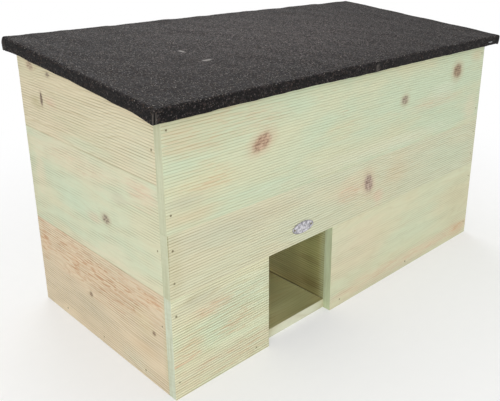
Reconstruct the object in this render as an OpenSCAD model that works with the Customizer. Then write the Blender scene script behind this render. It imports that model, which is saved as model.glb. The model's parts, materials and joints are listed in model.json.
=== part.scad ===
// Hedgehog house: a box of treated pine boards with a low entrance, a
// partition behind it, and a felted roof hinged along the back wall.
// Millimetres, +Z up, front towards -Y. The origin is at the middle of the
// box's footprint, on the ground.

/* [Box] */
// Width of the box across its front
box_w = 585; // [480:1:700]
// Depth of the box from its front face to its back face
box_d = 288; // [240:1:360]
// Height of the front wall
front_h = 314; // [270:1:360]
// Thickness of the wall, floor and partition boards
board_t = 12; // [9:0.5:18]
// Width of a full board
board_w = 121; // [100:1:140]

/* [Entrance] */
// Distance from the left face of the box to the entrance
entrance_x = 136; // [80:1:200]
// Width of the entrance
entrance_w = 110; // [90:1:140]

/* [Partition] */
// Length of the partition behind the front wall
partition_len = 150; // [100:1:190]

/* [Corner battens] */
// Width of a corner batten along the front or back wall
batten_w = 20; // [18:1:30]
// Thickness of a corner batten
batten_t = 12; // [9:0.5:18]

/* [Roof] */
// Slope of the roof in degrees, rising to the back
roof_pitch = 4.9; // [2:0.1:10]
// How far the roof stands out past each end wall
side_overhang = 15; // [8:1:30]
// How far the roof stands out past the front wall
front_overhang = 14; // [8:1:30]
// Thickness of the roof panel
panel_t = 9; // [8:0.5:15]
// Thickness of the roofing felt
felt_t = 2.8; // [1.5:0.1:3.5]
// How far the felt hangs below the panel at the front and the ends
felt_drop = 1; // [0.5:0.1:4]
// Gap between the wall tops and the closed roof
roof_gap = 0.2; // [0.1:0.05:0.5]

/* [Hinges] */
// Distance from each end of the box to the middle of a hinge
hinge_inset = 110; // [60:1:180]
// Length of a hinge
hinge_len = 50; // [40:1:70]
// Width of a leaf from the pin's axis
leaf_w = 10.5; // [9.5:0.1:11]
// Thickness of a leaf
leaf_t = 1.2; // [0.8:0.1:1.5]
// Gap that a leaf keeps from the other leaf's knuckles
knuckle_gap = 0.3; // [0.2:0.05:0.5]
// Radius of a hinge pin
pin_r = 1.3; // [1:0.05:1.5]
// Radial clearance of a hinge pin in its knuckles
pin_clear = 0.05; // [0.02:0.01:0.1]
// Thickness of a hinge pin's heads
pin_head_t = 0.8; // [0.5:0.1:1.5]

/* [Hinge screws] */
// Radius of a screw's head
screw_head_r = 2.6; // [2.2:0.1:3]
// Radius of a screw's shank
screw_r = 1.25; // [1:0.05:1.5]
// Length of a screw
screw_len = 9.5; // [8:0.5:10]
// Distance from a hinge's end to a screw
screw_inset = 10; // [7:0.5:14]
// Width of the cross recess in a screw's head
recess_w = 0.7; // [0.5:0.1:0.9]

/* [Nails] */
// Length of a nail
nail_len = 28; // [22:1:30]
// Length of a short nail, through a board of the back wall into a batten
short_nail_len = 20; // [15:1:22]
// Radius of a nail's shank
nail_r = 0.8; // [0.6:0.05:1]
// Radius of a nail's head
nail_head_r = 1.3; // [1.2:0.05:1.8]
// Thickness of a nail's head
nail_head_t = 0.8; // [0.5:0.1:1.2]
// Depth of a nail's head below the wood's face
nail_set = 0.3; // [0.1:0.1:1]
// Farthest that a nail sits from the edge of its board
nail_inset = 20; // [12:1:25]
// Distance from the top of the front or back wall to its highest nails
top_nail_inset = 15.5; // [10:0.5:25]
// Height of a batten's nails, as a share of the board in front of it
batten_nail_share = 0.69; // [0.4:0.01:0.7]
// Height of the floor's nails, as a share of the floor's thickness
floor_nail_share = 0.7; // [0.3:0.05:0.75]
// Radial clearance of nails, screws and staples in the wood
wood_clear = 0.05; // [0.02:0.01:0.1]

/* [Staples] */
// Width of a staple
staple_w = 10; // [8:1:12]
// Thickness of the staple wire
staple_t = 0.8; // [0.6:0.1:1]
// Length of a staple's legs
staple_leg = 8; // [6:1:10]
// Distance from the roof's end to the middle of a staple
staple_inset = 28; // [20:1:60]

/* [Badge] */
// Length of the oval badge
badge_w = 35; // [28:1:45]
// Height of the badge
badge_h = 14.5; // [11:0.5:20]
// Thickness of the badge inside its rim
badge_t = 0.8; // [0.5:0.1:1.5]
// Height of the rim above the badge's face
badge_rim_h = 0.6; // [0.3:0.1:1]
// Width of the rim
badge_rim_w = 1.4; // [1:0.1:2]
// Height of the badge's middle above the entrance
badge_up = 19; // [12:1:40]
// Radius of a badge pin's shank
badge_pin_r = 0.6; // [0.4:0.05:0.8]
// Radius of a badge pin's head
badge_pin_head_r = 1.1; // [0.9:0.1:1.5]
// Length of a badge pin behind the badge's face
badge_pin_len = 8; // [6:0.5:10]

/* [Hidden] */
$fn = 48;
// Depth by which cuts run past the faces that they open
cut_over = 1;
// Length of a nail's or screw's point, in shank radii
point_share = 2.5;
// Room beyond the tip of a nail or screw
tip_room = 0.2;
// Sides of the badge's outline, and of a bend in the felt
oval_sides = 64;
bend_sides = 6;

half_w = box_w / 2;
half_d = box_d / 2;
inner_w = box_w - 2 * board_t;
inner_d = box_d - 2 * board_t;
slope = tan(roof_pitch);
// Height of the plane of the wall tops at a depth in the box
function top_z(y) = front_h + (y + half_d) * slope;
back_h = top_z(half_d);

entrance_left = entrance_x - half_w;
entrance_right = entrance_left + entrance_w;
entrance_mid = entrance_left + entrance_w / 2;
partition_end = -half_d + board_t + partition_len;
floor_strip = inner_d / 3;

// Bottom and top of each row of boards. The end walls have the back wall's rows.
front_rows = [[0, board_w], [board_w, front_h - board_w], [front_h - board_w, front_h]];
back_rows = [[0, board_w], [board_w, 2 * board_w], [2 * board_w, back_h]];

// The pin's axis lies at the level of the roof's underside, behind the wall
knuckle_r = pin_r + pin_clear + leaf_t;
leaf_seat = knuckle_r + knuckle_gap;
leaf_edge = knuckle_r + knuckle_gap;
leaf_screw = (leaf_edge + leaf_w) / 2;
pin_y = half_d + leaf_seat;
pin_z = front_h + roof_gap / cos(roof_pitch) + (half_d + pin_y) * slope;
knuckle_len = (hinge_len - 2 * knuckle_gap) / 3;
hinge_xs = [-half_w + hinge_inset, half_w - hinge_inset];
screw_steps = [-hinge_len / 2 + screw_inset, hinge_len / 2 - screw_inset];

// Roof outline in the roof's own frame, whose origin is on the pin's axis
roof_w = box_w + 2 * side_overhang;
roof_front = -(half_d + pin_y + front_overhang) / cos(roof_pitch);
roof_back = -leaf_seat;
staple_x = roof_w / 2 - staple_inset;

// Heights of the two nails at a board's end, in a wall with the given top
function nail_zs(row, top) =
    let (inset = min(nail_inset, (row[1] - row[0]) / 4))
    [row[0] + inset, row[1] - (row[1] == top ? top_nail_inset : inset)];
// Height of the nail through an end wall into a batten
function batten_z(row) = row[0] + batten_nail_share * (row[1] - row[0]);
// Points of a wall face that lie in a row of boards
function in_row(points, row) =
    [for (p = points) if (p[1] > row[0] - nail_head_r && p[1] < row[1] + nail_head_r) p];

end_line = half_w - board_t / 2;
back_line = (inner_w - batten_w) / 2;
batten_line = (inner_d - batten_t) / 2;
front_nail_at = [for (row = front_rows, z = nail_zs(row, front_h), x = [-end_line, end_line]) [x, z]];
back_nail_at = [for (row = back_rows, z = nail_zs(row, back_h), x = [-back_line, back_line]) [x, z]];
end_nail_at = [for (row = front_rows) [-batten_line, batten_z(row)]];
batten_nail_at = [for (row = back_rows) [batten_line, batten_z(row)]];
floor_line = floor_nail_share * board_t;
floor_nail_front = [for (x = [entrance_left - nail_inset, entrance_right + nail_inset,
    (entrance_right + half_w) / 2]) [x, floor_line]];
floor_nail_back = [for (x = [-inner_w / 4, 0, inner_w / 4]) [x, floor_line]];
floor_nail_ends = [for (i = [-1 : 1]) [i * floor_strip, floor_line]];
partition_nail_at = [-half_d + board_t + nail_inset, partition_end - nail_inset];
badge_z = board_w + badge_up;
badge_pin_x = badge_w / 2 - badge_rim_w - 1.5 * badge_pin_head_r;

pine = "#c9d3a4";
pine_inside = "#a9a878";
ply = "#c8a877";
felt_grey = "#3b383b";
zinc = "#b9bcc0";
silver = "#d5d6d8";

// Places on the walls, with +Z of each child pointing into the wood
module on_front(points) {
    for (p = points)
        translate([p[0], -half_d, p[1]])
            rotate([-90, 0, 0])
                children();
}

module on_back(points) {
    for (p = points)
        translate([p[0], half_d, p[1]])
            rotate([90, 0, 0])
                children();
}

module on_ends(points, sides = [-1, 1]) {
    for (side = sides, p = points)
        translate([side * half_w, p[0], p[1]])
            rotate([0, -90 * side, 0])
                children();
}

// On the inner faces of the battens, with +Z of each child towards the end walls
module on_battens(points, sides = [-1, 1]) {
    for (side = sides, p = points)
        translate([side * (inner_w / 2 - batten_w), p[0], p[1]])
            rotate([0, 90 * side, 0])
                children();
}

module under_partition() {
    for (y = partition_nail_at)
        translate([entrance_right + board_t / 2, y, 0])
            children();
}

// The roof's own frame: +Y up the slope to the back, +Z out of the roof
module in_roof() {
    translate([0, pin_y, pin_z])
        rotate([roof_pitch, 0, 0])
            children();
}

module on_leaf_screws(tilt) {
    for (x = hinge_xs, step = screw_steps)
        translate([x + step, pin_y, pin_z])
            rotate([tilt, 0, 0])
                children();
}

// Fasteners, each with its head at the origin and its point along +Z
module nail(length = nail_len) {
    translate([0, 0, nail_set]) {
        cylinder(h = nail_head_t, r = nail_head_r);
        shank(nail_r, length);
    }
}

module nail_hole(length = nail_len) {
    translate([0, 0, -cut_over])
        cylinder(h = cut_over + nail_set + nail_head_t, r = nail_head_r + wood_clear);
    cylinder(h = nail_set + length + tip_room, r = nail_r + wood_clear);
}

module shank(radius, length) {
    point = point_share * radius;
    cylinder(h = length - point, r = radius);
    translate([0, 0, length - point])
        cylinder(h = point, r1 = radius, r2 = radius / 5);
}

module screw() {
    difference() {
        union() {
            cylinder(h = leaf_t, r1 = screw_head_r, r2 = screw_r);
            shank(screw_r, screw_len);
        }
        for (turn = [0, 90])
            rotate([0, 0, turn])
                translate([-screw_head_r / 2, -recess_w / 2, -cut_over])
                    cube([screw_head_r, recess_w, cut_over + leaf_t / 2]);
    }
}

// Countersink and clearance hole in a leaf
module leaf_hole() {
    cylinder(h = leaf_t, r1 = screw_head_r + wood_clear, r2 = screw_r + wood_clear);
    translate([0, 0, -cut_over])
        cylinder(h = 2 * cut_over + leaf_t, r = screw_r + wood_clear);
}

// Pilot hole that starts outside the wood and ends beyond the point
module screw_hole() {
    translate([0, 0, leaf_t - cut_over])
        cylinder(h = screw_len - leaf_t + cut_over + tip_room, r = screw_r + wood_clear);
}

module wall_screw_places() {
    on_leaf_screws(0)
        translate([0, leaf_t - leaf_seat, -leaf_screw])
            rotate([90, 0, 0])
                children();
}

module roof_screw_places() {
    on_leaf_screws(roof_pitch)
        translate([0, leaf_t - leaf_seat, leaf_screw])
            rotate([90, 0, 0])
                children();
}

// One staple at the right of the front and one at each end of the back, with
// the crown on the felt and the legs along +Z
module staple_places() {
    in_roof() {
        translate([staple_x, roof_front, panel_t / 2])
            rotate([-90, 0, 0])
                children();
        for (x = [-staple_x, staple_x])
            translate([x, roof_back, panel_t / 2])
                rotate([90, 0, 0])
                    children();
    }
}

module staple(grow = 0) {
    wire = staple_t + 2 * grow;
    translate([-staple_w / 2 - grow, -wire / 2, -staple_t])
        cube([staple_w + 2 * grow, wire, staple_t]);
    for (side = [-1, 1])
        translate([side * (staple_w - staple_t) / 2 - wire / 2, -wire / 2, -staple_t])
            cube([wire, wire, staple_t + staple_leg + grow]);
}

// A straight plank between two corners
module plank(low, high) {
    translate(low)
        cube(high - low);
}

// A plank whose top is cut to the roof's slope
module sloped_plank(low, high_x, high_y) {
    translate([low[0], 0, 0])
        rotate([90, 0, 90])
            linear_extrude(high_x - low[0])
                polygon([
                    [low[1], low[2]], [high_y, low[2]],
                    [high_y, top_z(high_y)], [low[1], top_z(low[1])]]);
}

module front_holes(row) {
    on_front(in_row(concat(front_nail_at, floor_nail_front), row))
        nail_hole();
}

module back_holes(row) {
    on_back(in_row(back_nail_at, row))
        nail_hole(short_nail_len);
    on_back(in_row(floor_nail_back, row))
        nail_hole();
}

module end_holes(row, side) {
    on_ends(in_row(concat(end_nail_at, floor_nail_ends), row), [side])
        nail_hole();
    on_battens(in_row(batten_nail_at, row), [side])
        nail_hole();
}

// Front wall
module front_top_board() {
    color(pine)
        difference() {
            sloped_plank([-half_w, -half_d, front_rows[2][0]], half_w, -half_d + board_t);
            front_holes(front_rows[2]);
        }
}

module front_middle_board() {
    row = front_rows[1];
    color(pine)
        difference() {
            plank([-half_w, -half_d, row[0]], [half_w, -half_d + board_t, row[1]]);
            front_holes(row);
            badge_pin_places()
                cylinder(h = badge_pin_len + tip_room, r = badge_pin_r + wood_clear);
        }
}

module front_bottom_board(x0, x1) {
    row = front_rows[0];
    color(pine)
        difference() {
            plank([x0, -half_d, row[0]], [x1, -half_d + board_t, row[1]]);
            front_holes(row);
        }
}

module front_left_board() {
    front_bottom_board(-half_w, entrance_left);
}

module front_right_board() {
    front_bottom_board(entrance_right, half_w);
}

// Back wall, which stands between the end walls
module back_board(row) {
    color(pine)
        difference() {
            plank([-inner_w / 2, inner_d / 2, row[0]], [inner_w / 2, half_d, row[1]]);
            back_holes(row);
        }
}

module back_bottom_board() {
    back_board(back_rows[0]);
}

module back_middle_board() {
    back_board(back_rows[1]);
}

module back_top_board() {
    color(pine)
        difference() {
            sloped_plank([-inner_w / 2, inner_d / 2, back_rows[2][0]], inner_w / 2, half_d);
            back_holes(back_rows[2]);
            wall_screw_places()
                screw_hole();
        }
}

// End walls, which run from the front wall to the back of the box
module end_board_holes(row, side) {
    front_holes(row);
    end_holes(row, side);
}

module end_board(row, side) {
    x0 = side < 0 ? -half_w : half_w - board_t;
    color(pine)
        difference() {
            plank([x0, -inner_d / 2, row[0]], [x0 + board_t, half_d, row[1]]);
            end_board_holes(row, side);
        }
}

module end_top_board(side) {
    row = back_rows[2];
    x0 = side < 0 ? -half_w : half_w - board_t;
    color(pine)
        difference() {
            sloped_plank([x0, -inner_d / 2, row[0]], x0 + board_t, half_d);
            end_board_holes(row, side);
        }
}

module left_bottom_board() {
    end_board(back_rows[0], -1);
}

module left_middle_board() {
    end_board(back_rows[1], -1);
}

module left_top_board() {
    end_top_board(-1);
}

module right_bottom_board() {
    end_board(back_rows[0], 1);
}

module right_middle_board() {
    end_board(back_rows[1], 1);
}

module right_top_board() {
    end_top_board(1);
}

// Floor, of three boards between the walls
module floor_board(strip) {
    y0 = -inner_d / 2 + strip * floor_strip;
    color(pine_inside)
        difference() {
            plank([-inner_w / 2, y0, 0], [inner_w / 2, y0 + floor_strip, board_t]);
            on_front(floor_nail_front)
                nail_hole();
            on_back(floor_nail_back)
                nail_hole();
            on_ends([floor_nail_ends[strip]])
                nail_hole();
            under_partition()
                nail_hole();
        }
}

module floor_front_board() {
    floor_board(0);
}

module floor_middle_board() {
    floor_board(1);
}

module floor_back_board() {
    floor_board(2);
}

// Partition, of two boards that stand on the floor
module partition_board(z0) {
    color(pine_inside)
        difference() {
            plank([entrance_right, -half_d + board_t, z0],
                [entrance_right + board_t, partition_end, z0 + board_w]);
            under_partition()
                nail_hole();
        }
}

module partition_lower_board() {
    partition_board(board_t);
}

module partition_upper_board() {
    partition_board(board_t + board_w);
}

// Battens that stand on the floor in the corners
module batten(side_x, side_y) {
    x0 = side_x < 0 ? -inner_w / 2 : inner_w / 2 - batten_w;
    y0 = side_y < 0 ? -inner_d / 2 : inner_d / 2 - batten_t;
    color(pine_inside)
        difference() {
            sloped_plank([x0, y0, board_t], x0 + batten_w, y0 + batten_t);
            on_ends(end_nail_at, [side_x])
                nail_hole();
            on_battens(batten_nail_at, [side_x])
                nail_hole();
            on_back(back_nail_at)
                nail_hole(short_nail_len);
        }
}

module front_left_batten() {
    batten(-1, -1);
}

module front_right_batten() {
    batten(1, -1);
}

module back_left_batten() {
    batten(-1, 1);
}

module back_right_batten() {
    batten(1, 1);
}

// Nails, in a group for each wall
module front_nails() {
    color(zinc)
        on_front(front_nail_at)
            nail();
}

module back_nails() {
    color(zinc)
        on_back(back_nail_at)
            nail(short_nail_len);
}

module end_nails() {
    color(zinc) {
        on_ends(end_nail_at)
            nail();
        on_battens(batten_nail_at)
            nail();
    }
}

module floor_nails() {
    color(zinc) {
        on_front(floor_nail_front)
            nail();
        on_back(floor_nail_back)
            nail();
        on_ends(floor_nail_ends)
            nail();
    }
}

module partition_nails() {
    color(zinc)
        under_partition()
            nail();
}

// Oval badge with a raised rim, held by two pins
module oval(margin) {
    a = badge_w / 2 - margin;
    b = badge_h / 2 - margin;
    polygon([for (i = [0 : oval_sides - 1])
        [a * cos(360 * i / oval_sides), b * sin(360 * i / oval_sides)]]);
}

module badge_pin_places() {
    on_front([[entrance_mid - badge_pin_x, badge_z], [entrance_mid + badge_pin_x, badge_z]])
        children();
}

module badge_plate() {
    thick = badge_t + badge_rim_h;
    color(silver)
        difference() {
            on_front([[entrance_mid, badge_z]])
                translate([0, 0, -thick])
                    difference() {
                        linear_extrude(thick)
                            oval(0);
                        translate([0, 0, -cut_over])
                            linear_extrude(cut_over + badge_rim_h)
                                oval(badge_rim_w);
                    }
            badge_pin_places()
                translate([0, 0, -thick - cut_over])
                    cylinder(h = thick + 2 * cut_over, r = badge_pin_r + wood_clear);
        }
}

module badge_pins() {
    color(zinc)
        badge_pin_places()
            translate([0, 0, -badge_t]) {
                translate([0, 0, -badge_rim_h])
                    cylinder(h = badge_rim_h, r = badge_pin_head_r);
                shank(badge_pin_r, badge_t + badge_pin_len);
            }
}

// Hinge leaf, with its plate along +Z from the pin's axis. It carries the
// knuckles that it owns and is cut back round the others.
module leaf(own) {
    difference() {
        union() {
            translate([-hinge_len / 2, -leaf_seat, leaf_edge])
                cube([hinge_len, leaf_t, leaf_w - leaf_edge]);
            for (i = own)
                translate([-hinge_len / 2 + i * (knuckle_len + knuckle_gap), 0, 0]) {
                    translate([0, -leaf_seat, knuckle_gap])
                        cube([knuckle_len, leaf_t, leaf_w - knuckle_gap]);
                    rotate([0, 90, 0])
                        cylinder(h = knuckle_len, r = knuckle_r);
                }
        }
        translate([-hinge_len / 2 - cut_over, 0, 0])
            rotate([0, 90, 0])
                cylinder(h = hinge_len + 2 * cut_over, r = pin_r + pin_clear);
        for (step = screw_steps)
            translate([step, leaf_t - leaf_seat, leaf_screw])
                rotate([90, 0, 0])
                    leaf_hole();
    }
}

module wall_leaf(x) {
    color(zinc)
        translate([x, pin_y, pin_z])
            mirror([0, 0, 1])
                leaf([0, 2]);
}

module roof_leaf(x) {
    color(zinc)
        translate([x, pin_y, pin_z])
            rotate([roof_pitch, 0, 0])
                leaf([1]);
}

module hinge_pin(x) {
    color(zinc)
        translate([x, pin_y, pin_z])
            rotate([0, 90, 0]) {
                cylinder(h = hinge_len, r = pin_r, center = true);
                for (side = [-1, 1])
                    translate([0, 0, side * (hinge_len + pin_head_t) / 2])
                        cylinder(h = pin_head_t, r = (pin_r + knuckle_r) / 2, center = true);
            }
}

module left_hinge_wall_leaf() {
    wall_leaf(hinge_xs[0]);
}

module right_hinge_wall_leaf() {
    wall_leaf(hinge_xs[1]);
}

module left_hinge_roof_leaf() {
    roof_leaf(hinge_xs[0]);
}

module right_hinge_roof_leaf() {
    roof_leaf(hinge_xs[1]);
}

module left_hinge_pin() {
    hinge_pin(hinge_xs[0]);
}

module right_hinge_pin() {
    hinge_pin(hinge_xs[1]);
}

module hinge_wall_screws() {
    color(zinc)
        wall_screw_places()
            screw();
}

module hinge_roof_screws() {
    color(zinc)
        roof_screw_places()
            screw();
}

// Roof panel, with the felt bent over its edges
module panel_block(below) {
    plank([-roof_w / 2 + felt_t, roof_front + felt_t, -below],
        [roof_w / 2 - felt_t, roof_back - felt_t, panel_t]);
}

module roof_panel() {
    color(ply)
        difference() {
            in_roof()
                panel_block(0);
            roof_screw_places()
                screw_hole();
            staple_places()
                staple(wood_clear);
        }
}

// Section of the felt's outside, with bent upper corners
module felt_section(from, to) {
    polygon(concat(
        [[from, -felt_drop], [to, -felt_drop]],
        [for (i = [0 : bend_sides])
            [to - felt_t + felt_t * cos(90 * i / bend_sides),
                panel_t + felt_t * sin(90 * i / bend_sides)]],
        [for (i = [0 : bend_sides])
            [from + felt_t - felt_t * sin(90 * i / bend_sides),
                panel_t + felt_t * cos(90 * i / bend_sides)]]));
}

module felt_outside() {
    intersection() {
        translate([-roof_w / 2, 0, 0])
            rotate([90, 0, 90])
                linear_extrude(roof_w)
                    felt_section(roof_front, roof_back);
        translate([0, roof_back, 0])
            rotate([90, 0, 0])
                linear_extrude(roof_back - roof_front)
                    felt_section(-roof_w / 2, roof_w / 2);
    }
}

module roof_felt() {
    color(felt_grey)
        difference() {
            in_roof()
                difference() {
                    felt_outside();
                    panel_block(felt_drop + cut_over);
                    plank([-roof_w / 2 - cut_over, roof_back - felt_t - cut_over, -felt_drop - cut_over],
                        [roof_w / 2 + cut_over, roof_back + cut_over, 0]);
                }
            roof_screw_places()
                screw_hole();
            staple_places()
                staple(wood_clear);
        }
}

module felt_staples() {
    color(zinc)
        staple_places()
            staple();
}

front_top_board();
front_middle_board();
front_left_board();
front_right_board();
back_bottom_board();
back_middle_board();
back_top_board();
left_bottom_board();
left_middle_board();
left_top_board();
right_bottom_board();
right_middle_board();
right_top_board();
floor_front_board();
floor_middle_board();
floor_back_board();
partition_lower_board();
partition_upper_board();
front_left_batten();
front_right_batten();
back_left_batten();
back_right_batten();
front_nails();
back_nails();
end_nails();
floor_nails();
partition_nails();
badge_plate();
badge_pins();
left_hinge_wall_leaf();
right_hinge_wall_leaf();
left_hinge_roof_leaf();
right_hinge_roof_leaf();
left_hinge_pin();
right_hinge_pin();
hinge_wall_screws();
hinge_roof_screws();
roof_panel();
roof_felt();
felt_staples();
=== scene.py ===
import json
import math
from dataclasses import dataclass

import bmesh
import bpy
import numpy as np
from mathutils import Matrix, Vector


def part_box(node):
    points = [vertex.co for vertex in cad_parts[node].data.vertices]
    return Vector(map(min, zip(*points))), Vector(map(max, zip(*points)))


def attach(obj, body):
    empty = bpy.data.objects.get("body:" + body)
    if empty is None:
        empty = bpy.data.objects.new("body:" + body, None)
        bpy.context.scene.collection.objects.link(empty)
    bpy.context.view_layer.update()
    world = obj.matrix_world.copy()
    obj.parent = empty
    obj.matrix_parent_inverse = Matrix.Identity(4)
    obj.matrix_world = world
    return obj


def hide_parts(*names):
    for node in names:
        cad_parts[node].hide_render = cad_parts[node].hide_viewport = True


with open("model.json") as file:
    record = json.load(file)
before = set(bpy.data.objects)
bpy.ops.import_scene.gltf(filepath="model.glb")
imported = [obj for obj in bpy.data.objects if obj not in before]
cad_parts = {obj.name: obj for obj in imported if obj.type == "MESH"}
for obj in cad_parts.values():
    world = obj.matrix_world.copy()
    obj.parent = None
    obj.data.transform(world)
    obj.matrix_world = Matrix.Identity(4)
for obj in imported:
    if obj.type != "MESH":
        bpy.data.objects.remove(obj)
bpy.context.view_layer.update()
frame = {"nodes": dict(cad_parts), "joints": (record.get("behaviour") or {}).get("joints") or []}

# The visual model of the hedgehog house, in metres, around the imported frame. The origin is the
# middle of the box's footprint on the ground, +Z is up and the front faces -Y. In millimetres are the
# boards' grain, knots and zones, the felt's rises, edges, swells and slits, and the badge's section.
MM = 0.001
SEED = 20
# Points nearer than this are at the same place
SAME_PLACE = 1e-5

# Camera, fitted to the edges of the box and the roof, with its lens and sensor in millimetres
CAMERA_PLACE = (-0.616, -0.6228, 0.4768)
CAMERA_AZIMUTH = -45.96
CAMERA_ELEVATION = 19.9
CAMERA_ROLL = 0.79
CAMERA_LENS = 47.13
CAMERA_SENSOR = 36
CAMERA_SHIFT = (-0.0844, -0.0788)
CAMERA_NEAR = 0.01

# Studio: the world's even light, and round soft lamps by name, place, size and watts
WORLD_LIGHT = 0.55
LAMP_AIM = (0, 0, 0.15)
LAMPS = [
    ("key", (-1.95, -1.85, 0.98), 1.8, 39.5),
    ("fill", (1.5, -1.7, 1.2), 1.6, 5),
    ("top", (0.2, 0.6, 2.4), 1.8, 10),
    ("back", (1.0, 2.0, 1.3), 1.8, 16),
]
# The floor's radius, and its share of plain white from the near to the far distance
FLOOR_RADIUS = 14
FLOOR_FADE = (0.3, 0.9)
FLOOR_WHITE = (0.35, 1.0)

# Boards: the radius of their arrises, the place of an arris's middle row, and the lattice's steps
ARRIS = 0.25 * MM
ARRIS_ROW = 0.586
GRID_ALONG = 12 * MM
GRID_PLAIN = 1.5 * MM
GRID_EDGE = 3 * MM
ROWS_APART = 0.02 * MM
# Under a sloping top the rows fan out over the last part of the height
GRID_FAN = 0.6 * MM
FAN_DROP = 6 * MM
# Machined ribs: their pitch, and the half width of a groove and the rows of a rib as shares of it
RIB_PITCH = 3.17 * MM
RIB_HALF = 0.19
RIB_ROWS = (0.0, RIB_HALF, 0.5, 1 - RIB_HALF)
RIB_WAVES = (0.12, 0.03)
# Growth rings: how they wander and wobble, and how far and how much a knot pulls them aside
RING_WANDER = 2 * MM
RING_WANDER_WAVE = 0.35
RING_WOBBLE_WAVES = (0.16, 0.035)
KNOT_REACH = (2.6, 2.2)
KNOT_PULL = 0.85
# Shallow hollows in the faces, which end before the edges, and wear along the edges
HOLLOW = 0.07 * MM
HOLLOW_MOST = 0.2 * MM
HOLLOW_END = 4 * MM
HOLLOW_WAVES = (0.22, 0.08)
WEAR = 0.04 * MM
WEAR_MOST = 0.12 * MM
WEAR_REACH = 1 * MM
WEAR_WAVES = (0.02,) * 3
# The dish that a nail's head leaves in the wood, and the lattice rows across it
NAIL_DISH = 2.2 * MM
NAIL_DISH_DEPTH = 0.34 * MM
NAIL_ROWS = [0.7 * MM * step for step in range(-3, 4)]
# How squarely a point faces off a ribbed side or out of a sawn end
SIDE_FACING = 0.9
END_FACING = 0.75
# How deep knots and tinted zones go into a board
SPOT_DEPTH = 40 * MM

# Roof felt: the panel's pitch, the felt's thickness and bend, and the lattice's steps
ROOF_PITCH = math.radians(4.9)
FELT_THICKNESS = 1.8 * MM
FELT_BEND = 2.8 * MM
FELT_GRID = 3 * MM
FELT_FINE = 0.6 * MM
FELT_EDGE = 9.6 * MM
FELT_ROWS = 14


def srgb(red, green, blue):
    """A linear colour from the 0 to 255 values a screen shows."""
    def linear(value):
        value /= 255
        return value / 12.92 if value <= 0.04045 else ((value + 0.055) / 1.055) ** 2.4
    return (linear(red), linear(green), linear(blue), 1.0)


class Graph:
    """A short way to write the nodes of a material or a world."""

    def __init__(self, name, kind="materials"):
        self.owner = getattr(bpy.data, kind).new(name)
        self.owner.use_nodes = True
        self.tree = self.owner.node_tree
        output = next(node for node in self.tree.nodes if node.type.startswith("OUTPUT"))
        self.surface = output.inputs["Surface"]
        self.shader = self.surface.links[0].from_node

    def feed(self, socket, value):
        if isinstance(value, bpy.types.NodeSocket):
            self.tree.links.new(value, socket)
        else:
            socket.default_value = value

    def node(self, kind, inputs=(), **settings):
        """A new node with its settings, and values or links in its inputs."""
        made = self.tree.nodes.new(kind)
        for key, value in settings.items():
            setattr(made, key, value)
        for key, value in dict(inputs).items():
            self.feed(made.inputs[key], value)
        return made

    def place(self):
        return self.node("ShaderNodeTexCoord").outputs["Object"]

    def attribute(self, name):
        return self.node("ShaderNodeAttribute", attribute_name=name).outputs["Fac"]

    def math(self, operation, first, second=0.0, third=0.0, clamp=False):
        inputs = {0: first, 1: second, 2: third}
        return self.node("ShaderNodeMath", inputs, operation=operation, use_clamp=clamp).outputs[0]

    def times(self, first, second):
        return self.math("MULTIPLY", first, second)

    def seen(self):
        """One for what is seen, also mirrored or through glass, and nothing for other light."""
        path = self.node("ShaderNodeLightPath").outputs
        seen = self.math("MAXIMUM", path["Is Camera Ray"], path["Is Glossy Ray"])
        return self.math("MAXIMUM", seen, path["Is Transmission Ray"])

    def length(self, vector):
        return self.node("ShaderNodeVectorMath", {0: vector}, operation="LENGTH").outputs["Value"]

    def scale(self, vector, scale, shift=(0, 0, 0)):
        inputs = {"Vector": vector, "Scale": scale, "Location": shift}
        return self.node("ShaderNodeMapping", inputs).outputs[0]

    def fit(self, vector, centre, half, turn=(0, 0, 0)):
        """Coordinates in which an oval patch is a unit circle round the origin."""
        inputs = {"Vector": vector, "Location": centre, "Rotation": turn, "Scale": half}
        return self.node("ShaderNodeMapping", inputs, vector_type="TEXTURE").outputs[0]

    def noise(self, vector, scale=1.0, detail=2.0, rough=0.5, distortion=0.0):
        inputs = {"Vector": vector, "Scale": scale, "Detail": detail, "Roughness": rough,
                  "Distortion": distortion}
        return self.node("ShaderNodeTexNoise", inputs).outputs["Fac"]

    def cells(self, vector, scale):
        """Two random numbers for each cell of a fine mosaic."""
        made = self.node("ShaderNodeTexVoronoi", {"Vector": vector, "Scale": scale})
        parts = self.node("ShaderNodeSeparateColor", {0: made.outputs["Color"]})
        return parts.outputs[0], parts.outputs[1]

    def span(self, value, low, high, new_low=0.0, new_high=1.0):
        """A smooth step from one range to another."""
        inputs = dict(enumerate((value, low, high, new_low, new_high)))
        return self.node("ShaderNodeMapRange", inputs, interpolation_type="SMOOTHSTEP").outputs[0]

    def ramp(self, value, stops):
        made = self.node("ShaderNodeValToRGB", {"Fac": value})
        elements = made.color_ramp.elements
        while len(elements) < len(stops):
            elements.new(0.5)
        for element, (position, colour) in zip(elements, stops):
            element.position = position
            element.color = colour
        return made.outputs["Color"]

    def mix(self, factor, first, second, blend="MIX"):
        inputs = {"Factor": factor, 6: first, 7: second}
        return self.node("ShaderNodeMix", inputs, data_type="RGBA", blend_type=blend).outputs[2]

    def darkened_by(self, factor, colour, stain):
        """A colour darkened by multiplying in a tone that lets it show through: a stain on the wood, and
        partly painted shade on the felt's folds.
        """
        return self.mix(factor, colour, self.mix(1.0, colour, stain, "MULTIPLY"))

    def bump(self, height, strength, distance):
        inputs = {"Height": height, "Strength": strength, "Distance": distance}
        return self.node("ShaderNodeBump", inputs).outputs["Normal"]

    def finish(self, **sockets):
        for name, value in sockets.items():
            self.feed(self.shader.inputs[name.replace("_", " ")], value)
        return self.owner


def link(obj):
    bpy.context.scene.collection.objects.link(obj)
    return obj


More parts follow.
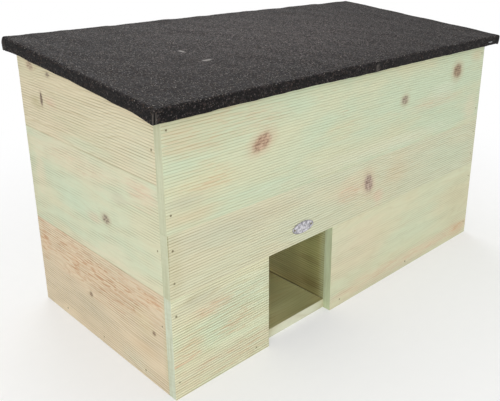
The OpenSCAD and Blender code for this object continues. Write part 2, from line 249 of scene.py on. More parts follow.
def mesh_object(name, points, faces):
    """A new smooth-shaded mesh in the scene."""
    mesh = bpy.data.meshes.new(name)
    mesh.from_pydata(points, [], faces)
    mesh.polygons.foreach_set("use_smooth", np.ones(len(mesh.polygons), bool))
    mesh.update()
    return link(bpy.data.objects.new(name, mesh))


def store(obj, **layers):
    """Keeps numbers at a mesh's points for its material."""
    for name, values in layers.items():
        layer = obj.data.attributes.new(name, "FLOAT", "POINT")
        layer.data.foreach_set("value", np.asarray(values, np.float32))


def soft_noise(rng, coordinates, wavelengths, terms=7):
    """Smooth noise of about unit size from a few seeded waves."""
    total = 0
    for _ in range(terms):
        pace = [rng.normal() * 2 * math.pi / w for w in wavelengths]
        phase = rng.uniform(0, 2 * math.pi)
        total = total + np.sin(sum(c * p for c, p in zip(coordinates, pace)) + phase)
    return total * math.sqrt(2 / terms)


def bell(distance, reach):
    """One at no distance, falling off smoothly to nothing past the reach."""
    return np.exp(-(distance / reach) ** 2)


def lattice_rows(low, high, inner):
    """Rows across one side of a board: the given ones, and those of the two arrises."""
    turn = ARRIS_ROW * ARRIS
    rows = [low, low + turn, low + ARRIS, high - ARRIS, high - turn, high]
    rows += [row for row in inner if low + 2 * ARRIS < row < high - 2 * ARRIS]
    rows = sorted(rows)
    return np.array([r for i, r in enumerate(rows) if i == 0 or r - rows[i - 1] > ROWS_APART])


def even_rows(low, high, step):
    return list(np.linspace(low, high, max(2, int(round((high - low) / step)) + 1)))


def lattice_shell(rows):
    """The points and outward quads of a box's surface on three sets of rows."""
    counts = [len(r) for r in rows]
    spot = np.indices(counts)
    outer = np.zeros(counts, bool)
    for axis in range(3):
        outer |= (spot[axis] == 0) | (spot[axis] == counts[axis] - 1)
    number = np.full(counts, -1)
    number[outer] = np.arange(outer.sum())

    def quads(block, turned):
        corners = [block[:-1, :-1], block[1:, :-1], block[1:, 1:], block[:-1, 1:]]
        made = np.stack([c.ravel() for c in corners], 1)
        return made[:, ::-1] if turned else made

    sides = {}
    for axis, letter in enumerate("xyz"):
        sides["-" + letter] = quads(number.take(0, axis), axis != 1)
        sides["+" + letter] = quads(number.take(-1, axis), axis == 1)
    points = np.stack([rows[axis][spot[axis][outer]] for axis in range(3)], 1)
    return points, sides


def rounded(points, low, high, radius):
    """Points on a box's surface moved onto its rounded arrises, and their outward directions."""
    inner = np.clip(points, low + radius, high - radius)
    out = points - inner
    out /= np.maximum(np.linalg.norm(out, axis=1, keepdims=True), 1e-12)
    return inner + radius * out, out


def node_points(name):
    """The points of a CAD node's mesh."""
    data = frame["nodes"][name].data
    points = np.empty(len(data.vertices) * 3)
    data.vertices.foreach_get("co", points)
    return points.reshape(-1, 3)


def islands(name):
    """The points of each separate solid in a CAD node."""
    scratch = bmesh.new()
    scratch.from_mesh(frame["nodes"][name].data)
    bmesh.ops.remove_doubles(scratch, verts=scratch.verts, dist=0.1 * SAME_PLACE)
    found, seen = [], set()
    for start in scratch.verts:
        if start in seen:
            continue
        island, queue = [], [start]
        seen.add(start)
        while queue:
            vertex = queue.pop()
            island.append(vertex.co.copy())
            for edge in vertex.link_edges:
                other = edge.other_vert(vertex)
                if other not in seen:
                    seen.add(other)
                    queue.append(other)
        found.append(np.array(island))
    scratch.free()
    return found


def nail_head(points):
    """The middle of a nail's head, which is the wider of its two ends."""
    low, high = points.min(0), points.max(0)
    axis = int(np.argmax(high - low))
    middle = (low + high) / 2
    off_axis = np.linalg.norm(np.delete(points - middle, axis, 1), axis=1)
    ends = low[axis], high[axis]
    spread = [off_axis[np.abs(points[:, axis] - end) < SAME_PLACE].max() for end in ends]
    middle[axis] = ends[int(np.argmax(spread))]
    return middle


NAIL_NODES = ("front_nails", "back_nails", "end_nails", "floor_nails", "partition_nails")
HEADS = np.array([nail_head(nail) for node in NAIL_NODES for nail in islands(node)])


@dataclass
class Spot:
    """A place on a board, along the part's axis and up from the board's edge, and half sizes."""
    along: float
    across: float
    half_along: float
    half_across: float


@dataclass
class Knot(Spot):
    """A knot, with its turn in degrees."""
    turn: float
    tone: str


@dataclass
class Zone(Spot):
    """A tinted part of a board, with its shares of tint, flecks and ragged edge; some tints are painted
    shade.
    """
    tone: str
    share: float
    flecks: float = 0
    ragged: float = 1


@dataclass
class Grain:
    """How one board was sawn and ribbed, and how it looks."""
    # Where the pith lies across and behind the board, and its lean in millimetres per metre
    pith: tuple
    lean: tuple
    # The growth rings
    spacing: float = 4.8
    wobble: float = 0.4
    # The depth of the ribs, how dark their grooves are and how patchy they are
    ribs: float = 0.26
    groove: float = 0.85
    patchy: float = 0.2
    # Two ground tints, and amounts of tan patches, rusty streaks and ring lines
    ground: tuple = ((212, 208, 178), (202, 211, 182))
    tan: float = 0.2
    streak: float = 0.2
    line: float = 0.3
    # Tones of the flecks and the end grain
    fleck: tuple = (206, 162, 128)
    end: tuple = (195, 198, 170)
    # The values of its knots and zones
    knots: tuple = ()
    zones: tuple = ()

    def __post_init__(self):
        self.knots = [Knot(*values) for values in self.knots]
        self.zones = [Zone(*values) for values in self.zones]


def ring_count(along, across, depth, grain, rng):
    """How many growth rings lie between the pith and each point of a board."""
    eased = across.copy()
    for knot in grain.knots:
        off_knot = across - knot.across * MM
        far_along = (along - knot.along * MM) / (KNOT_REACH[0] * knot.half_along * MM)
        far_across = off_knot / (KNOT_REACH[1] * knot.half_across * MM)
        eased -= off_knot * KNOT_PULL * np.exp(-far_along ** 2 - far_across ** 2)
    wander = RING_WANDER * soft_noise(rng, (along,), (RING_WANDER_WAVE,), 3)
    off_across = eased - MM * (grain.pith[0] + grain.lean[0] * along) + wander
    off_depth = depth - MM * (grain.pith[1] + grain.lean[1] * along) + wander
    wobble = grain.wobble * soft_noise(rng, (along, across), RING_WOBBLE_WAVES)
    return np.hypot(off_across, off_depth) / (grain.spacing * MM) + wobble


def rib_share(along, across, facing, grain, offset, rng):
    """How deep in a groove each point of a board's two ribbed sides lies, less in patches."""
    turn = ((across - offset) / RIB_PITCH) % 1
    rib = np.clip(1 - np.minimum(turn, 1 - turn) / RIB_HALF, 0, 1) * (np.abs(facing) > SIDE_FACING)
    return rib * np.clip(1 - grain.patchy * (1 + soft_noise(rng, (along, across), RIB_WAVES)), 0, 1)


def worn_depth(points, along, across, inset, rng):
    """How far a board's surface is worn down, in its hollows and along its edges."""
    hollow = HOLLOW * (1 + soft_noise(rng, (along, across), HOLLOW_WAVES)) * (1 - bell(inset, HOLLOW_END))
    wear = WEAR * bell(inset, WEAR_REACH) * (1 + soft_noise(rng, points.T, WEAR_WAVES))
    return np.clip(hollow, 0, HOLLOW_MOST) + np.clip(wear, 0, WEAR_MOST)


def board_rows(low, high, axes, grain, tops, marks, offset):
    """The lattice rows of a board: close at its ribs, at a sloping top and round its nails."""
    run, over, through = axes
    inner = [None, None, None]
    inner[run] = even_rows(low[run], high[run], GRID_ALONG)
    inner[run] += [m + d for m in set(marks[:, run].round(5)) for d in NAIL_ROWS]
    inner[through] = even_rows(low[through], high[through], GRID_EDGE)
    ribs = grain.ribs > 0
    slopes = over == 2 and high[2] - min(tops) > SAME_PLACE
    fan = min(tops) - FAN_DROP if ribs and slopes else high[over]
    if ribs:
        first = low[over] + offset - RIB_PITCH
        count = int((high[over] - first) / RIB_PITCH) + 2
        rows = [first + RIB_PITCH * (k + share) for k in range(count) for share in RIB_ROWS]
        inner[over] = [r for r in rows if r <= fan]
    else:
        inner[over] = even_rows(low[over], high[over], GRID_PLAIN)
    if fan < high[over]:
        inner[over] += even_rows(fan, high[over], GRID_FAN)
    return [lattice_rows(low[a], high[a], inner[a]) for a in range(3)], fan


def slope_top(points, low, high, tops, fan):
    """Bends the part of a lattice above the fan line to the board's sloping top."""
    share = (points[:, 1] - low[1]) / (high[1] - low[1])
    top = tops[0] + (tops[1] - tops[0]) * share
    bent = fan + (points[:, 2] - fan) * (top - fan) / max(high[2] - fan, 1e-9)
    points[:, 2] = np.where(points[:, 2] > fan, bent, points[:, 2])


def board(node, letters, grain):
    """One sawn board in place of its node: eased arrises, machined ribs and dished nail holes."""
    low, high = (np.array(corner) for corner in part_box(node))
    axes = run, over, through = tuple("xyz".index(letter) for letter in letters)
    marks = HEADS[np.all((HEADS > low - MM) & (HEADS < high + MM), axis=1)]
    rng = np.random.default_rng([SEED, sum(node.encode())])
    offset = rng.uniform(0, RIB_PITCH)
    shape = node_points(node)
    tops = [shape[np.abs(shape[:, 1] - y) < SAME_PLACE, 2].max() for y in (low[1], high[1])]
    rows, fan = board_rows(low, high, axes, grain, tops, marks, offset)
    points, sides = lattice_shell(rows)
    points, out = rounded(points, low, high, ARRIS)
    slope_top(points, low, high, tops, min(fan, min(tops) - FAN_DROP))

    corner = points - low
    along, across, depth = points[:, run], corner[:, over], corner[:, through]
    inset = np.sort(np.minimum(corner, high - low - corner), axis=1)[:, 1]
    ring = ring_count(along, across, depth, grain, rng)
    rib = rib_share(along, across, out[:, through], grain, offset, rng)
    push = grain.ribs * MM * rib + worn_depth(points, along, across, inset, rng)
    for mark in marks:
        far = np.linalg.norm(points - mark, axis=1) / NAIL_DISH
        push = push + NAIL_DISH_DEPTH * np.clip(1 - far ** 4, 0, 1)
    points = points - out * push[:, None]

    name = node.replace("_board", "").replace("_batten", "_post") + "_timber"
    faces = np.concatenate(list(sides.values()))
    piece = mesh_object(name, points.tolist(), faces.tolist())
    end = np.abs(out[:, run]) > END_FACING
    store(piece, ring=ring, rib=rib, end=end, arris=bell(inset, WEAR_REACH))
    piece.data.materials.append(wood(name, axes, grain, low))
    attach(piece, "box")
    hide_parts(node)


# Colours of the treated pine, as a screen shows them
TAN = srgb(212, 188, 156)
GROOVE = srgb(135, 123, 97)
FIBRE = srgb(120, 104, 70)
GRIME = srgb(158, 150, 112)
END_DARK = srgb(164, 164, 130)
LATE_WOOD = (srgb(206, 196, 160), srgb(200, 176, 142))
# Tones of the zones. Inside the box some paint shade instead of the pine's colour: the partition's darker
# tint, darker and browner patches low on it, the dark line at its foot and the lighter shade by the
# entrance, and the floor's darker front, whose tone is also grime and painted shade on one arris of the
# front.
ZONE_TONES = {
    "tan": (213, 191, 158), "pink": (220, 199, 175), "cream": (220, 211, 183),
    "mint": (198, 215, 189), "yellow": (214, 205, 166), "olive": (190, 180, 142),
    "grey": (190, 186, 164), "orange": (222, 191, 156), "straw": (200, 194, 160),
    "sill": (222, 224, 202), "gap": (44, 38, 22), "shade": (143, 146, 92),
    "bleached": (160, 168, 130), "umber": (104, 86, 50), "moss": (132, 134, 90),
}
# The heart, body and halo of a knot
KNOT_TONES = {
    "red": ((128, 92, 72), (196, 168, 144), (204, 180, 152)),
    "plum": ((104, 80, 72), (190, 170, 156), (204, 182, 158)),
    "brown": ((98, 76, 60), (166, 144, 120), (190, 172, 142)),
    "grey": ((92, 80, 68), (180, 168, 148), (186, 174, 146)),
    "dark": ((46, 34, 34), (138, 120, 104), (200, 184, 156)),
    "faint": ((150, 130, 112), (192, 176, 150), (204, 190, 160)),
}
# How strong the late wood is through one growth ring
RING_SHADE = [(0.0, 0.3), (0.15, 0.0), (0.5, 0.1), (0.8, 0.7), (0.9, 1.0), (1.0, 0.3)]
# Noises of the pine: scale along and across the grain, detail, roughness and distortion
PINE_NOISES = {
    "patch": (7, 26, 4, 0.6, 0), "band": (2.2, 75, 3, 0.5, 0), "fleck": (12, 260, 2, 0.5, 0),
    "fibre": (90, 2300, 3, 0.6, 0), "wobble": (18, 60, 4, 0.6, 0), "streaks": (9, 240, 4, 0.65, 0),
    "nick": (22, 330, 2, 0.5, 0), "dash": (36, 400, 2, 0.6, 0.9), "tan": (4, 34, 3, 0.5, 0),
    "cluster": (9, 60, 3, 0.6, 0),
}
# Noises that lie the same on all boards, and how the others shift with a board's name
PINE_SHIFTS = {"tan": (3, 5, 7), "cluster": (9, 2, 4)}
NAME_SHIFT = (0.37, 9)
# The scale of the stains on end grain, through the board and across that
END_STAIN = (260, 20)


class Pine(Graph):
    """The nodes of one board of treated pine."""

    def __init__(self, name, axes, grain, low):
        super().__init__(name)
        self.axes, self.low, self.grain = axes, low, grain
        self.where = self.place()
        self.shift = (NAME_SHIFT[0] * sum(name.encode()) % NAME_SHIFT[1],) * 3
        self.noises = {}
        for key, (along, across, detail, rough, distortion) in PINE_NOISES.items():
            drawn_out = self.stretched(axes[0], along, across, PINE_SHIFTS.get(key, self.shift))
            self.noises[key] = self.noise(drawn_out, 1.0, detail, rough, distortion)
        self.rib = self.attribute("rib")
        self.rust = srgb(*self.grain.fleck)
        self.dash = self.span(self.noises["dash"], 0.5, 0.6)
        self.line = self.late_wood()

    def stretched(self, axis, along, across, shift):
        """Coordinates with one scale along an axis and another across it."""
        factors = [across] * 3
        factors[axis] = along
        return self.scale(self.where, tuple(factors), shift)

    def late_wood(self):
        """The dark lines of the growth rings, stronger in some bands than in others."""
        ring = self.math("MULTIPLY_ADD", self.noises["fleck"], 0.25, self.attribute("ring"))
        line = self.ramp(self.math("FRACT", ring), [(at, (v, v, v, 1)) for at, v in RING_SHADE])
        line = self.times(line, self.span(self.noises["band"], 0.3, 0.62, 0.35, 1))
        return self.times(line, self.grain.line)

    def ground(self):
        """Patches of the board's two tints, tan in places, with clusters of rusty flecks."""
        pale, green = (srgb(*tone) for tone in self.grain.ground)
        colour = self.mix(self.span(self.noises["patch"], 0.36, 0.64), pale, green)
        start = 0.75 - 0.45 * self.grain.tan
        colour = self.mix(self.span(self.noises["tan"], start, start + 0.25, 0, 0.8), colour, TAN)
        start = 0.74 - 0.3 * self.grain.streak
        cluster = self.span(self.noises["cluster"], start, start + 0.16, 0, 0.7)
        return self.mix(self.times(cluster, self.dash), colour, self.rust)

    def fitted(self, spot, turn=0):
        """Coordinates in which a spot is a unit circle, and the distance from its middle."""
        run, over, through = self.axes
        centre, half, turns = [0, 0, 0], [0, 0, 0], [0, 0, 0]
        centre[run], half[run] = spot.along * MM, spot.half_along * MM
        centre[over], half[over] = self.low[over] + spot.across * MM, spot.half_across * MM
        centre[through], half[through] = self.low[through], SPOT_DEPTH
        right_handed = (over - run) % 3 == 1
        turns[through] = math.radians(turn if right_handed else -turn)
        local = self.fit(self.where, centre, half, turns)
        return local, self.length(local)

    def tinted(self, colour, spot):
        """Tints one zone, with ragged streaks at its edge and rusty flecks in it."""
        streaks, ragged = self.noises["streaks"], spot.ragged
        far = self.fitted(spot)[1]
        far = self.math("MULTIPLY_ADD", self.noises["wobble"], ragged, far)
        far = self.math("MULTIPLY_ADD", streaks, 1.8 * ragged, far)
        within = self.span(far, 1.3 + 1.4 * ragged, 0.2 + 1.4 * ragged)
        share = self.times(within, self.span(streaks, 0.35, 0.6, 1 - 0.35 * ragged, 1))
        tint = srgb(*ZONE_TONES[spot.tone])
        colour = self.mix(self.times(share, spot.share), colour, tint)
        if spot.flecks > 0:
            rusty = self.times(self.times(share, spot.flecks), self.dash)
            colour = self.mix(rusty, colour, self.rust)
        return colour

    def knotted(self, colour, spot):
        """Paints one knot: a mottled dark body with a ragged edge in a faint halo."""
        local, size = self.fitted(spot, spot.turn)
        ragged = self.noise(local, scale=1.6, detail=4, rough=0.65)
        far = self.math("SUBTRACT", self.math("MULTIPLY_ADD", ragged, 0.6, size), 0.3)
        heart, body, halo = (srgb(*tone) for tone in KNOT_TONES[spot.tone])
        mottle = self.noise(local, scale=2.4, detail=3, rough=0.6)
        mottle = self.math("MULTIPLY_ADD", self.rib, -0.12, mottle)
        dark = self.mix(self.span(mottle, 0.28, 0.62), heart, body)
        colour = self.mix(self.span(far, 2.2, 0.9, 0, 0.5), colour, halo)
        return self.mix(self.span(far, 1.3, 0.6, 0, 0.92), colour, dark)

    def grooved(self, colour):
        """Darkens the grooves between the ribs, some more than others, and the fibres."""
        groove = self.grain.groove
        deep = self.span(self.noises["nick"], 0.32, 0.68, 0.6 * groove, 0.95 * groove)
        share = self.math("MULTIPLY", self.rib, deep, clamp=True)
        colour = self.darkened_by(share, colour, GROOVE)
        return self.mix(self.span(self.noises["fibre"], 0.25, 0.75, 0.12, 0), colour, FIBRE)

    def ended(self, colour):
        """Gives the end grain its own streaked tone, and the arrises some grime."""
        flow = self.stretched(self.axes[2], *END_STAIN, self.shift)
        stain = self.noise(flow, detail=3, rough=0.6)
        end = self.mix(self.span(stain, 0.38, 0.68, 0, 0.45), srgb(*self.grain.end), END_DARK)
        end = self.mix(self.times(self.line, 0.8), end, END_DARK)
        colour = self.mix(self.attribute("end"), colour, end)
        grime = self.span(self.noises["fleck"], 0.4, 0.75, 0, 0.12)
        return self.mix(self.times(self.attribute("arris"), grime), colour, GRIME)


def wood(name, axes, grain, low):
    """The material of one board, with its layers in order."""
    pine = Pine(name, axes, grain, low)
    colour = pine.ground()
    for spot in grain.zones:
        colour = pine.tinted(colour, spot)
    colour = pine.darkened_by(pine.line, colour, pine.mix(pine.noises["band"], *LATE_WOOD))
    for spot in grain.knots:
        colour = pine.knotted(colour, spot)
    colour = pine.ended(pine.grooved(colour))
    fibre = pine.noises["fibre"]
    height = pine.math("MULTIPLY_ADD", pine.line, -0.35, fibre)
    return pine.finish(Base_Color=colour, Roughness=pine.span(fibre, 0.2, 0.8, 0.6, 0.78),
                       Specular_IOR_Level=0.25, Normal=pine.bump(height, 0.3, 0.25 * MM))


# Pairs of ground tints
LIGHT_GREEN = ((209, 211, 180), (199, 212, 184))
PALE = ((214, 210, 181), (208, 211, 184))
YELLOW_GREEN = ((212, 209, 178), (207, 211, 181))
STRAW = ((215, 207, 178), (210, 206, 177))
FRESH = ((222, 221, 189), (213, 222, 191))
BROWN = ((223, 208, 180), (215, 201, 174))
CREAM_GREEN = ((211, 210, 180), (204, 212, 184))
ROSY = ((219, 209, 180), (213, 207, 177))
# The inside boards' tints are paler and yellower than the outside's, partly as painted light for the dim
# inside of the box
INNER = ((234, 222, 162), (226, 224, 166))

# The boards: the axes they run along, lie across and are thick through, and their grain
BOARDS = {
    "front_top_board": ("xzy", Grain(
        (-320, 10), (14, 0), 5.2, groove=0.62, patchy=0.1, ground=LIGHT_GREEN, tan=0.15, streak=0.25,
        line=0.14,
        knots=[(-167, 67, 14.5, 8.5, 25, "red"), (92.5, 67, 7, 6, 0, "grey"),
               (220, 88, 10.5, 10, 0, "brown")],
        zones=[(-245, 45, 45, 20, "yellow", 0.4, 0.4), (-170, 96, 45, 16, "tan", 0.3, 0.3),
               (-265, 12, 50, 14, "tan", 0.5), (-35, 52, 45, 14, "yellow", 0.25, 0.2),
               (-248, 96, 66, 26, "straw", 0.5, 0.35), (-110, 42, 60, 16, "mint", 0.35),
               (20, 40, 60, 16, "mint", 0.35), (-110, 5, 90, 10, "tan", 0.1),
               (165, 52, 70, 10, "pink", 0.3, 0.2), (268, 24, 26, 26, "cream", 0.7),
               (272, 104, 20, 12, "tan", 0.5), (50, 11, 190, 11, "sill", 0.4),
               (-268, 30, 32, 9, "grey", 0.5), (-275, 90, 26, 18, "tan", 0.35),
               (185, 66, 36, 12, "sill", 0.35)])),
    "front_middle_board": ("xzy", Grain(
        (-260, 4), (-10, 0), patchy=0.1, ground=PALE, tan=0.15, line=0.2,
        knots=[(23, 40, 8.5, 12.5, 15, "plum")],
        zones=[(-215, 14, 90, 16, "mint", 0.25), (-15, 40, 35, 18, "pink", 0.5, 0.4),
               (-210, 56, 110, 18, "grey", 0.4), (85, 40, 32, 22, "tan", 0.4),
               (225, 36, 80, 36, "mint", 0.4), (45, 15, 13, 12, "pink", 0.9),
               # The second zone below is a thin dark line along the board's left end, grime and painted
               # shade
               (-286, 38, 12, 60, "straw", 0.5, 0, 0.4), (-292, 66, 1.1, 44, "moss", 0.55, 0, 0.1)])),
    "front_left_board": ("xzy", Grain(
        (-250, -60), (30, 0), 5.6, ribs=0.32, groove=1.0, patchy=0.1, ground=FRESH, streak=0.45,
        end=(201, 208, 187),
        zones=[(-228, 62, 36, 18, "mint", 0.4, 0.35), (-272, 58, 22, 18, "orange", 0.4, 0.5),
               (-205, 68, 26, 20, "orange", 0.25, 0.5), (-236, 91, 34, 10, "pink", 0.5, 0.7),
               (-225, 18, 90, 22, "pink", 0.4, 0.4), (-255, 108, 50, 13, "grey", 0.55),
               (-195, 92, 50, 26, "mint", 0.5, 0.2)])),
    "front_right_board": ("xzy", Grain(
        (40, -70), (90, 30), 5.6, wobble=0.6, ribs=0.07, groove=0.4, patchy=0.5, ground=YELLOW_GREEN,
        line=0.14, end=(193, 203, 167),
        zones=[(5, 70, 75, 45, "pink", 0.36), (140, 64, 70, 30, "mint", 0.25),
               (262, 70, 55, 50, "straw", 0.5), (120, 14, 220, 12, "pink", 0.5, 0.4),
               (266, 16, 26, 12, "tan", 0.7, 0.6), (70, 4, 120, 8, "grey", 0.3)])),
    "left_top_board": ("yzx", Grain(
        (-240, 5), (-20, 0), 4.4, groove=0.75, patchy=0.3, ground=ROSY,
        knots=[(92.5, 42, 3, 8, 0, "dark"), (113, 78, 8, 5, 10, "faint"), (70.5, 74, 4, 2.5, 0, "grey")],
        zones=[(106, 36, 16, 10, "olive", 0.7), (71, 42, 18, 7, "pink", 0.7, 0.3),
               (-108, 22, 24, 22, "mint", 0.4), (-70, 36, 70, 36, "mint", 0.2),
               (-40, 50, 45, 14, "cream", 0.6), (-95, 45, 55, 60, "cream", 0.5),
               (10, 8, 60, 8, "mint", 0.4)])),
    "left_middle_board": ("yzx", Grain(
        (-190, -30), (30, 0), 5.2, wobble=0.5, ribs=0.14, groove=0.65, patchy=0.5, ground=CREAM_GREEN,
        tan=0.1, streak=0.15, line=0.14, knots=[(-30, 52.5, 7, 5, 0, "grey")],
        zones=[(20, 104, 130, 22, "cream", 0.8, 0.15), (-104, 104, 30, 14, "pink", 0.5, 0.3),
               (-60, 87, 16, 10, "grey", 0.5), (-5, 46, 18, 7, "pink", 0.6),
               (-40, 18, 30, 18, "cream", 0.5), (45, 52, 45, 20, "mint", 0.6),
               (118, 70, 14, 34, "cream", 0.7), (-30, 5, 130, 7, "cream", 0.6)])),
    "left_bottom_board": ("yzx", Grain(
        (-220, -40), (20, 0), 4.6, wobble=0.35, ribs=0.16, groove=0.9, patchy=0.35, ground=BROWN,
        streak=0.4, fleck=(190, 144, 108),
        knots=[(21, 58, 3.5, 3, 0, "brown"), (-110, 67, 3, 2.5, 0, "brown")],
        zones=[(10, 92, 160, 36, "orange", 0.28, 0.85), (-105, 106, 24, 7, "orange", 0.5, 0.9),
               (50, 88, 9, 12, "orange", 0.5, 0.8), (-92, 70, 24, 18, "yellow", 0.4),
               (15, 42, 50, 14, "grey", 0.35), (130, 90, 12, 26, "orange", 0.4, 0.8),
               (-8, 114, 45, 8, "cream", 0.5), (-92, 40, 36, 10, "tan", 0.6),
               (-70, 12, 40, 12, "sill", 0.5), (-132, 60, 6, 70, "straw", 0.6)])),
    "back_bottom_board": ("xzy", Grain(
        (60, 75), (50, 20), 5.2, wobble=0.6, ground=BROWN, streak=0.3,
        knots=[(-120, 80, 9, 8, 10, "brown")],
        zones=[(120, 90, 120, 22, "orange", 0.4, 0.6), (-200, 30, 60, 20, "mint", 0.5)])),
    "back_middle_board": ("xzy", Grain(
        (-280, 6), (12, 0), ground=LIGHT_GREEN, knots=[(150, 45, 10, 6, 20, "red")],
        zones=[(-170, 70, 80, 20, "yellow", 0.5, 0.4), (60, 20, 90, 16, "pink", 0.5, 0.2)])),
    "back_top_board": ("xzy", Grain(
        (-200, 10), (-16, 0), ground=PALE, tan=0.3, knots=[(-60, 50, 7, 7, 0, "grey")],
        zones=[(180, 60, 80, 22, "mint", 0.5), (-190, 30, 60, 20, "tan", 0.5, 0.3)])),
    "right_bottom_board": ("yzx", Grain(
        (-180, 40), (30, 0), 4.6, ground=FRESH, tan=0.25, streak=0.3,
        zones=[(40, 80, 90, 22, "pink", 0.5, 0.5), (-80, 30, 40, 18, "mint", 0.5)])),
    "right_middle_board": ("yzx", Grain(
        (-170, 60), (40, 30), 5.3, wobble=0.6, ribs=0.14, groove=0.5, patchy=0.5, ground=STRAW, tan=0.35,
        streak=0.4, knots=[(40, 60, 8, 7, 0, "red")],
        zones=[(-60, 90, 70, 18, "cream", 0.6, 0.3), (90, 30, 40, 18, "mint", 0.6)])),
    "right_top_board": ("yzx", Grain(
        (-260, 8), (16, 0), ground=LIGHT_GREEN,
        zones=[(-50, 40, 60, 16, "tan", 0.4, 0.3), (80, 60, 40, 20, "cream", 0.6)])),
}
INNER_BOARDS = {
    # Painted shade darkens the floor's front, inside the entrance
    "floor_front_board": ("xyz", Grain(
        (-120, -30), (20, 0), 5.0, ribs=0.05, groove=0.2, ground=INNER,
        zones=[(-75, 16, 50, 44, "moss", 0.5, 0, 0.3), (-100, -4, 90, 28, "moss", 0.6, 0, 0.3),
               (-100, 0, 90, 1, "sill", 0.9, 0, 0.1)])),
    "floor_middle_board": ("xyz", Grain(
        (40, -50), (60, 20), 5.2, wobble=0.6, ribs=0.05, groove=0.2, ground=INNER)),
    "floor_back_board": ("xyz", Grain((-160, 10), (-20, 0), 4.7, ribs=0.05, groove=0.2, ground=INNER)),
    # Painted shade: the partition is darker, with darker, browner patches low down, a dark line at its foot
    # and a lighter shade by the entrance
    "partition_lower_board": ("yzx", Grain(
        (-200, 6), (10, 0), groove=1.0, ground=INNER, tan=0.3,
        zones=[(-95, 60, 55, 150, "shade", 0.75, 0, 0.15), (-114, 60, 20, 150, "shade", 0.7, 0, 0.15),
               (-90, 8, 60, 44, "umber", 0.5, 0, 0.4), (-108, 50, 18, 6, "umber", 0.4, 0, 0.8),
               (-108, 16, 24, 8, "umber", 0.5, 0, 0.8), (-133, 60, 9, 150, "bleached", 0.8, 0, 0.2),
               (-57, 0, 110, 2, "gap", 1.0, 0, 0.2)])),
    "partition_upper_board": ("yzx", Grain((-240, 6), (-10, 0), ground=INNER)),
    "front_left_batten": ("zxy", Grain((-60, 30), (6, 0), 3.2, wobble=0.3, ribs=0, line=0.5)),
    "front_right_batten": ("zxy", Grain((-70, 20), (-6, 0), 3.4, wobble=0.3, ribs=0, tan=0.4, line=0.5)),
    "back_left_batten": ("zxy", Grain((-50, 40), (8, 0), 3.3, wobble=0.3, ribs=0, line=0.5)),
    "back_right_batten": ("zxy", Grain((-80, 30), (5, 0), 3.1, wobble=0.3, ribs=0, tan=0.3, line=0.5)),
}


# Granules of the felt, from dark to pale
FELT_SHADES = [
    (0.2, srgb(3, 2, 2)), (0.42, srgb(9, 7, 7)), (0.6, srgb(24, 21, 20)),
    (0.78, srgb(57, 51, 50)), (0.95, srgb(114, 105, 103)),
]
FELT_BROWN = srgb(88, 74, 62)
FELT_BLUE = srgb(60, 57, 68)
FELT_DUST = srgb(44, 38, 37)
# Pale specks: partly pale granules, partly painted glints
FELT_SPECK_AND_GLINT = srgb(146, 140, 134)
# The folds: nearly bare bitumen and painted shade, mixed between a dark and a faint tone
FELT_FOLD_BARE_AND_SHADE = (srgb(84, 82, 83), srgb(238, 235, 239))
FELT_RUBBED = srgb(158, 154, 150)
FELT_LIP = srgb(104, 98, 92)
# The slits' near black is painted shade
FELT_SLIT = srgb(6, 5, 5)
# Granules and pale specks per metre, the specks partly painted glints, and the painted light that makes the
# roof's middle paler: its scale and two distances
GRANULES = 760
SPECKS_AND_GLINTS = 1150
PAINTED_GLOW_SCALE = (1, 1.6, 0)
PAINTED_GLOW_FADE = (0.34, 0.04)
# Pale rubbed marks on the felt's top: place, and half sizes along the roof and up the slope
SCUFFS = [(-166, -8, 3, 7), (-165, -53, 8, 3)]
SCUFF_DEPTH = 10


